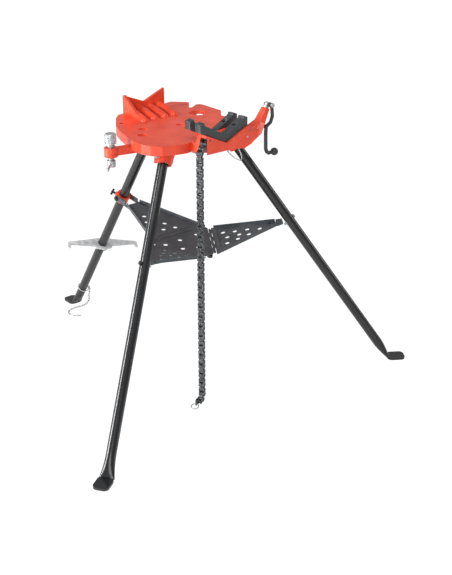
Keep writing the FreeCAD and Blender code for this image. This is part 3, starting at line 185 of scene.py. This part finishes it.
def makeTubePaint():
    # black stoving enamel on drawn steel tube: smooth, with a little orange peel
    material, tree, shader = newMaterial("tubePaint", **tube["shader"])
    place = objectPlace(tree)
    cloud = noise(tree, place, tube["cloudMm"], 3.0)
    colour = ramp(tree, cloud, [(0.35, tube["dark"]), (0.7, tube["colour"])])
    tree.links.new(colour, shader.inputs["Base Color"])
    peel = noise(tree, place, tube["peelMm"], 2.0)
    tree.links.new(bump(tree, peel, tube["reliefMm"], 0.15), shader.inputs["Normal"])
    tree.links.new(ramp(tree, peel, [(0.3, 0.24), (0.7, 0.34)]), shader.inputs["Roughness"])
    return material


tray = {
    "dark": "#393F43", "colour": "#4A5055", "rubbed": "#8A8D90",
    "cloudMm": 45.0, "leatherMm": 1.6, "reliefMm": 0.15, "wornEdgeMm": 1.4, "wornPatchMm": 9.0,
}


def makeTrayPaint():
    # powder-coated sheet steel: fine leathery texture, rubbed grey along the folds
    material, tree, shader = newMaterial("trayPaint", Roughness=0.42)
    place = objectPlace(tree)
    cloud = noise(tree, place, tray["cloudMm"], 3.0)
    colour = ramp(tree, cloud, [(0.3, tray["dark"]), (0.7, tray["colour"])])
    worn = wearMask(tree, place, tray["wornEdgeMm"], tray["wornPatchMm"], 0.06, 0.22)
    tree.links.new(mixColour(tree, worn, colour, tray["rubbed"]), shader.inputs["Base Color"])
    leather = noise(tree, place, tray["leatherMm"], 2.0)
    tree.links.new(bump(tree, leather, tray["reliefMm"], 0.4), shader.inputs["Normal"])
    return material


chain = {
    "dark": "#3C3E40", "colour": "#6E7072", "rubbed": "#A6A8AA",
    "patchMm": 6.0, "wornEdgeMm": 0.6, "wornPatchMm": 4.0,
}


def makeChainSteel():
    # blued and oiled carbon steel: nearly black, bright where links rub
    material, tree, shader = newMaterial("chainSteel", Metallic=0.85, Roughness=0.36)
    place = objectPlace(tree)
    patch = noise(tree, place, chain["patchMm"], 4.0)
    colour = ramp(tree, patch, [(0.35, chain["dark"]), (0.66, chain["colour"])])
    worn = wearMask(tree, place, chain["wornEdgeMm"], chain["wornPatchMm"], 0.05, 0.2)
    tree.links.new(mixColour(tree, worn, colour, chain["rubbed"]), shader.inputs["Base Color"])
    tree.links.new(ramp(tree, patch, [(0.3, 0.28), (0.7, 0.5)]), shader.inputs["Roughness"])
    return material


zinc = {"dark": "#A6AAAD", "colour": "#CED1D2", "cloudMm": 12.0, "grainMm": 1.2, "reliefMm": 0.04}


def makeZincPlate():
    # bright zinc electroplate: cool silver with faint cloudy passivation
    material, tree, shader = newMaterial("zincPlate", Metallic=0.8, Roughness=0.42)
    place = objectPlace(tree)
    cloud = noise(tree, place, zinc["cloudMm"], 4.0)
    colour = ramp(tree, cloud, [(0.3, zinc["dark"]), (0.7, zinc["colour"])])
    tree.links.new(colour, shader.inputs["Base Color"])
    tree.links.new(ramp(tree, cloud, [(0.3, 0.36), (0.7, 0.5)]), shader.inputs["Roughness"])
    grain = noise(tree, place, zinc["grainMm"], 2.0)
    tree.links.new(bump(tree, grain, zinc["reliefMm"], 0.2), shader.inputs["Normal"])
    return material


crank = {"dark": "#222426", "colour": "#36383A", "scaleMm": 4.0, "reliefMm": 0.3}


def makeCrankPaint():
    # satin black paint dipped over a forging
    material, tree, shader = newMaterial("crankPaint", Roughness=0.4)
    place = objectPlace(tree)
    scale = noise(tree, place, crank["scaleMm"], 4.0)
    colour = ramp(tree, scale, [(0.3, crank["dark"]), (0.7, crank["colour"])])
    tree.links.new(colour, shader.inputs["Base Color"])
    tree.links.new(bump(tree, scale, crank["reliefMm"], 0.35), shader.inputs["Normal"])
    return material


galvanising = {"dark": "#C0C3C5", "colour": "#DCDFE0", "spangleMm": 9.0}


def makeKeeperPlate():
    # hot-dip galvanised plate: pale grey with large soft spangles
    material, tree, shader = newMaterial("galvanisedPlate", Metallic=0.35, Roughness=0.42)
    place = objectPlace(tree)
    size = {"Scale": 1000.0 / galvanising["spangleMm"]}
    spangle = addNode(tree, "ShaderNodeTexVoronoi", size, {"Vector": place}).outputs["Color"]
    tone = addNode(tree, "ShaderNodeSeparateColor", links={0: spangle}).outputs[0]
    colour = ramp(tree, tone, [(0.0, galvanising["dark"]), (1.0, galvanising["colour"])])
    tree.links.new(colour, shader.inputs["Base Color"])
    tree.links.new(ramp(tree, tone, [(0.0, 0.36), (1.0, 0.5)]), shader.inputs["Roughness"])
    return material


oxide = {"dark": "#1E1F20", "colour": "#36383A", "patchMm": 3.0, "reliefMm": 0.1}


def makeBlackOxide():
    # black-oxide alloy fasteners with a dry oily sheen
    material, tree, shader = newMaterial("blackOxide", Metallic=0.7, Roughness=0.38)
    place = objectPlace(tree)
    patch = noise(tree, place, oxide["patchMm"], 4.0)
    colour = ramp(tree, patch, [(0.3, oxide["dark"]), (0.7, oxide["colour"])])
    tree.links.new(colour, shader.inputs["Base Color"])
    tree.links.new(bump(tree, patch, oxide["reliefMm"], 0.3), shader.inputs["Normal"])
    return material


finishes = {
    "casting_paint": makeCastingEnamel(),
    "jaw_forging": makeJawForging(),
    "chain_steel": makeChainSteel(),
    "zinc_plate": makeZincPlate(),
    "tube_paint": makeTubePaint(),
    "tray_paint": makeTrayPaint(),
    "crank_paint": makeCrankPaint(),
    "keeper_plate": makeKeeperPlate(),
    "dark_bolt": makeBlackOxide(),
}
nodeSlot = {entry["node"]: entry["material_slot"] for entry in frame["record"]["subparts"]}
bodyOf = {node: body for body, names in frame["record"]["behaviour"]["bodies"].items() for node in names}
for name, piece in nodes.items():
    piece.data.materials.clear()
    piece.data.materials.append(finishes[nodeSlot[name]])
print("materials:", len(finishes))


# ---- softened copies of the jaws and the keeper plate
arris = {"segments": 2, "sharpDegrees": 35.0, "flatDegrees": 1.0, "mergeMetres": 2e-5}


def softened(node, name, widthMm):
    # the CAD solid with its sharp arrises rounded as a casting's or a forging's are
    mesh = nodes[node].data.copy()
    mesh.name = name
    bm = bmesh.new()
    bm.from_mesh(mesh)
    bmesh.ops.remove_doubles(bm, verts=bm.verts, dist=arris["mergeMetres"])
    flat = math.radians(arris["flatDegrees"])
    bmesh.ops.dissolve_limit(bm, angle_limit=flat, verts=bm.verts, edges=bm.edges)
    for face in bm.faces:
        face.smooth = True
    bm.to_mesh(mesh)
    bm.free()
    piece = bpy.data.objects.new(name, mesh)
    bpy.context.collection.objects.link(piece)
    bevel = piece.modifiers.new("roundedArrises", "BEVEL")
    bevel.width = widthMm / 1000.0
    bevel.segments = arris["segments"]
    bevel.limit_method = "ANGLE"
    bevel.angle_limit = math.radians(arris["sharpDegrees"])
    bevel.harden_normals = True
    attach(piece, bodyOf[node])
    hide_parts(node)
    return piece


softenedWidths = {"front_jaw": 1.2, "rear_jaw": 1.2, "hanger_plate": 0.7}
for node, width in softenedWidths.items():
    softened(node, node + "_softened", width)
print("softened:", len(softenedWidths))


# ---- repeated small parts, scattered with geometry nodes
def scatterTree(name, kind):
    # one small shape on every point: a domed head, or a pressed ring
    tree = bpy.data.node_groups.new(name, "GeometryNodeTree")
    face = tree.interface
    face.new_socket("Geometry", in_out="INPUT", socket_type="NodeSocketGeometry")
    for label in ("Radius", "Thickness"):
        face.new_socket(label, in_out="INPUT", socket_type="NodeSocketFloat")
    face.new_socket("Material", in_out="INPUT", socket_type="NodeSocketMaterial")
    face.new_socket("Geometry", in_out="OUTPUT", socket_type="NodeSocketGeometry")
    given = tree.nodes.new("NodeGroupInput").outputs
    result = tree.nodes.new("NodeGroupOutput")
    if kind == "dome":
        facets = {"Segments": 12, "Rings": 8}
        ball = addNode(tree, "GeometryNodeMeshUVSphere", facets, {"Radius": given["Radius"]})
        share = {0: given["Thickness"], 1: given["Radius"]}
        flat = addNode(tree, "ShaderNodeMath", {"operation": "DIVIDE"}, share)
        squash = addNode(tree, "ShaderNodeCombineXYZ", {"X": 1.0, "Y": 1.0}, {"Z": flat.outputs[0]})
        domed = {"Geometry": ball.outputs["Mesh"], "Scale": squash.outputs[0]}
        shape = addNode(tree, "GeometryNodeTransform", links=domed).outputs["Geometry"]
    else:
        circle = "GeometryNodeCurvePrimitiveCircle"
        path = addNode(tree, circle, {"Resolution": 20}, {"Radius": given["Radius"]})
        wire = addNode(tree, circle, {"Resolution": 8}, {"Radius": given["Thickness"]})
        sweep = addNode(tree, "GeometryNodeCurveToMesh",
                        links={"Curve": path.outputs["Curve"], "Profile Curve": wire.outputs["Curve"]})
        shape = sweep.outputs["Mesh"]
    named = {"data_type": "FLOAT_VECTOR", "Name": "facing"}
    turn = addNode(tree, "GeometryNodeInputNamedAttribute", named).outputs[0]
    align = addNode(tree, "FunctionNodeAlignRotationToVector", {"axis": "Z"}, {"Vector": turn})
    placed = {"Points": given["Geometry"], "Instance": shape, "Rotation": align.outputs[0]}
    spread = addNode(tree, "GeometryNodeInstanceOnPoints", links=placed)
    real = addNode(tree, "GeometryNodeRealizeInstances", links={"Geometry": spread.outputs["Instances"]})
    smooth = addNode(tree, "GeometryNodeSetShadeSmooth", links={"Geometry": real.outputs["Geometry"]})
    coat = addNode(tree, "GeometryNodeSetMaterial",
                   links={"Geometry": smooth.outputs["Geometry"], "Material": given["Material"]})
    tree.links.new(coat.outputs["Geometry"], result.inputs["Geometry"])
    return tree


scatterTrees = {kind: scatterTree(kind + "Scatter", kind) for kind in ("dome", "ring")}


def scattered(name, body, slotName, kind, radiusMm, thickMm, points):
    # points is a list of (place, direction) pairs in metres
    mesh = bpy.data.meshes.new(name + "Points")
    mesh.from_pydata([tuple(place) for place, way in points], [], [])
    facing = mesh.attributes.new("facing", "FLOAT_VECTOR", "POINT")
    for entry, (place, way) in zip(facing.data, points):
        entry.vector = way
    holder = bpy.data.objects.new(name + "Points", mesh)
    bpy.context.collection.objects.link(holder)
    modifier = holder.modifiers.new("scatter", "NODES")
    modifier.node_group = scatterTrees[kind]
    values = {"Radius": radiusMm / 1000.0, "Thickness": thickMm / 1000.0, "Material": finishes[slotName]}
    for item in modifier.node_group.interface.items_tree:
        if item.in_out == "INPUT" and item.name in values:
            modifier[item.identifier] = values[item.name]
    ready = holder.evaluated_get(bpy.context.evaluated_depsgraph_get())
    final = bpy.data.meshes.new_from_object(ready)
    final.name = name
    holder.modifiers.remove(modifier)
    bpy.data.objects.remove(holder)
    piece = bpy.data.objects.new(name, final)
    bpy.context.collection.objects.link(piece)
    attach(piece, body)
    return piece


def solidsOf(node):
    # the separate solids of a node, each as a list of its corner places
    bm = bmesh.new()
    bm.from_mesh(nodes[node].data)
    bmesh.ops.remove_doubles(bm, verts=bm.verts, dist=1e-6)
    seen, groups = set(), []
    for start in bm.verts:
        if start.index in seen:
            continue
        seen.add(start.index)
        stack, group = [start], []
        while stack:
            vert = stack.pop()
            group.append(vert.co.copy())
            for edge in vert.link_edges:
                other = edge.other_vert(vert)
                if other.index not in seen:
                    seen.add(other.index)
                    stack.append(other)
        groups.append(group)
    bm.free()
    return groups


chainHeads = {"axis": (-0.446, 0.895, 0.0), "headMm": 3.3, "riseMm": 1.1, "sunk": 0.0002}


def makeChainHeads():
    # peened pin ends standing proud of the outer plates
    axis = Vector(chainHeads["axis"]).normalized()
    for node in ("chain_pins", "chain_tail_pins"):
        points = []
        for group in solidsOf(node):
            middle = sum(group, Vector()) / len(group)
            reach = max((place - middle).dot(axis) for place in group)
            for side in (-1, 1):
                points.append((middle + axis * side * (reach - chainHeads["sunk"]), axis * side))
        sizes = chainHeads["headMm"], chainHeads["riseMm"]
        scattered(node + "Heads", bodyOf[node], "chain_steel", "dome", *sizes, points)


pan = {
    "rimMm": 8.3, "wireMm": 0.8,
    "rearPlace": ((1, 0, 0), (0, 0.99061, 0.13669), (0, -0.13669, 0.99061)),
    "sidePlace": ((-0.53368, 0.83775, 0.1156), (-0.81269, -0.54586, 0.20389),
                  (0.23391, 0.014866, 0.97215)),
    "low": (0, -0.328, 0.460), "proud": 0.0013,
    "rearHoles": [(-24, 360), (14, 352), (-42, 321), (5, 284), (-62, 262), (-24, 251), (19, 244),
                  (49, 168), (-22, 164), (-82, 162), (-49, 113)],
    "sideHoles": [(164, 41), (154, 80), (148, 121), (134, 161), (127, 51), (127, 91), (114, 122),
                  (101, 83), (89, 46)],
}


def makePanRims():
    # the pressed collar round each drain hole of the folding tray
    leaves = (("rear_leaf", "rear", 1), ("left_leaf", "side", 1), ("right_leaf", "side", -1))
    for body, key, mirror in leaves:
        across, along, up = [Vector((v[0] * mirror, v[1], v[2])) for v in pan[key + "Place"]]
        origin = Vector(pan["low"])
        points = []
        for x, y in pan[key + "Holes"]:
            points.append((origin + across * x / 1000 + along * y / 1000 + up * pan["proud"], up))
        scattered(body + "Rims", body, "tray_paint", "ring", pan["rimMm"], pan["wireMm"], points)


braceThread = {
    "axis": (-0.258, -0.139), "low": 0.799, "high": 0.842, "pitch": 0.0025,
    "radiusMm": 7.8, "wireMm": 0.8,
}


def makeBraceThread():
    # rounded ridges of the ceiling brace's screw, between its hub and its crown
    turns = int((braceThread["high"] - braceThread["low"]) / braceThread["pitch"])
    x, y = braceThread["axis"]
    upright = Vector((0, 0, 1))
    heights = [braceThread["low"] + turn * braceThread["pitch"] for turn in range(turns)]
    points = [(Vector((x, y, height)), upright) for height in heights]
    sizes = braceThread["radiusMm"], braceThread["wireMm"]
    scattered("braceThread", "brace_jack", "zinc_plate", "ring", *sizes, points)


makeChainHeads()
makePanRims()
makeBraceThread()
print("scattered: chain heads, pan rims, brace thread")


# ---- studio: pale floor, soft light, camera
studio = {
    "floorColour": "#F7F7F7", "floorSize": 30.0, "floorGlow": 0.86, "glowLevel": 1.14,
    "skyLight": 0.36, "skySeen": 1.0,
}


def makeStudio():
    mesh = bpy.data.meshes.new("floor")
    half = studio["floorSize"] / 2
    corners = [(-half, -half, 0), (half, -half, 0), (half, half, 0), (-half, half, 0)]
    mesh.from_pydata(corners, [], [(0, 1, 2, 3)])
    floor = bpy.data.objects.new("floor", mesh)
    bpy.context.collection.objects.link(floor)
    material = bpy.data.materials.new("paleFloor")
    material.use_nodes = True
    tree = material.node_tree
    tree.nodes.clear()
    paper = addNode(tree, "ShaderNodeBsdfDiffuse", {"Color": linear(studio["floorColour"])})
    glow = addNode(tree, "ShaderNodeEmission", {"Color": (1, 1, 1, 1), "Strength": studio["glowLevel"]})
    rays = addNode(tree, "ShaderNodeLightPath")
    seen = rays.outputs["Is Camera Ray"]
    amount = {"operation": "MULTIPLY", 1: studio["floorGlow"]}
    share = addNode(tree, "ShaderNodeMath", amount, {0: seen}).outputs[0]
    mixed = {"Fac": share, 1: paper.outputs[0], 2: glow.outputs[0]}
    both = addNode(tree, "ShaderNodeMixShader", links=mixed)
    addNode(tree, "ShaderNodeOutputMaterial", links={"Surface": both.outputs[0]})
    mesh.materials.append(material)
    world = bpy.data.worlds.new("studio")
    bpy.context.scene.world = world
    world.use_nodes = True
    tree = world.node_tree
    tree.nodes.clear()
    rays = addNode(tree, "ShaderNodeLightPath")
    seen = addNode(tree, "ShaderNodeMath", {"operation": "MAXIMUM"},
                   {0: rays.outputs["Is Camera Ray"], 1: rays.outputs["Is Transmission Ray"]}).outputs[0]
    levels = {"To Min": studio["skyLight"], "To Max": studio["skySeen"]}
    strength = addNode(tree, "ShaderNodeMapRange", levels, {"Value": seen}).outputs[0]
    sky = addNode(tree, "ShaderNodeBackground", {"Color": (1, 1, 1, 1)}, {"Strength": strength})
    addNode(tree, "ShaderNodeOutputWorld", links={"Surface": sky.outputs[0]})


lamps = [
    {"name": "overheadSoftbox", "at": (-1.2, -1.4, 4.2), "aim": (0, 0, 0.6), "wide": 3.0, "tall": 3.0,
     "power": 70},
    {"name": "frontFill", "at": (-3.6, -3.4, 1.6), "aim": (0, 0, 0.6), "wide": 2.2, "tall": 2.2,
     "power": 60},
    {"name": "rightStrip", "at": (3.4, -1.8, 2.0), "aim": (0, 0, 0.6), "wide": 0.5, "tall": 3.0,
     "power": 30},
    {"name": "leftStrip", "at": (-3.3, 1.1, 1.6), "aim": (-0.3, -0.4, 0.75), "wide": 0.6, "tall": 3.0,
     "power": 160},
]


def makeLamps():
    for lamp in lamps:
        light = bpy.data.lights.new(lamp["name"], "AREA")
        light.energy = lamp["power"]
        light.shape = "RECTANGLE"
        light.size, light.size_y = lamp["wide"], lamp["tall"]
        holder = bpy.data.objects.new(lamp["name"], light)
        holder.location = lamp["at"]
        aim = Vector(lamp["aim"]) - Vector(lamp["at"])
        holder.rotation_euler = aim.to_track_quat("-Z", "Y").to_euler()
        bpy.context.collection.objects.link(holder)


view = {
    "at": (-2.0770, -2.8707, 1.8453), "aim": (-0.0289, -0.4086, 0.400),
    "focalPixels": 1120.51, "longSide": 575, "sensorMm": 36.0,
}


def makeCamera():
    camera = bpy.data.cameras.new("camera")
    camera.sensor_width = view["sensorMm"]
    camera.sensor_fit = "AUTO"
    camera.lens = view["focalPixels"] / view["longSide"] * camera.sensor_width
    camera.clip_start, camera.clip_end = 0.05, 60.0
    holder = bpy.data.objects.new("camera", camera)
    holder.location = view["at"]
    aim = Vector(view["aim"]) - Vector(view["at"])
    holder.rotation_euler = aim.to_track_quat("-Z", "Y").to_euler()
    bpy.context.collection.objects.link(holder)
    bpy.context.scene.camera = holder


makeStudio()
makeLamps()
makeCamera()
bpy.context.scene.view_settings.view_transform = "Standard"
print("studio ready")

bpy.context.view_layer.update()
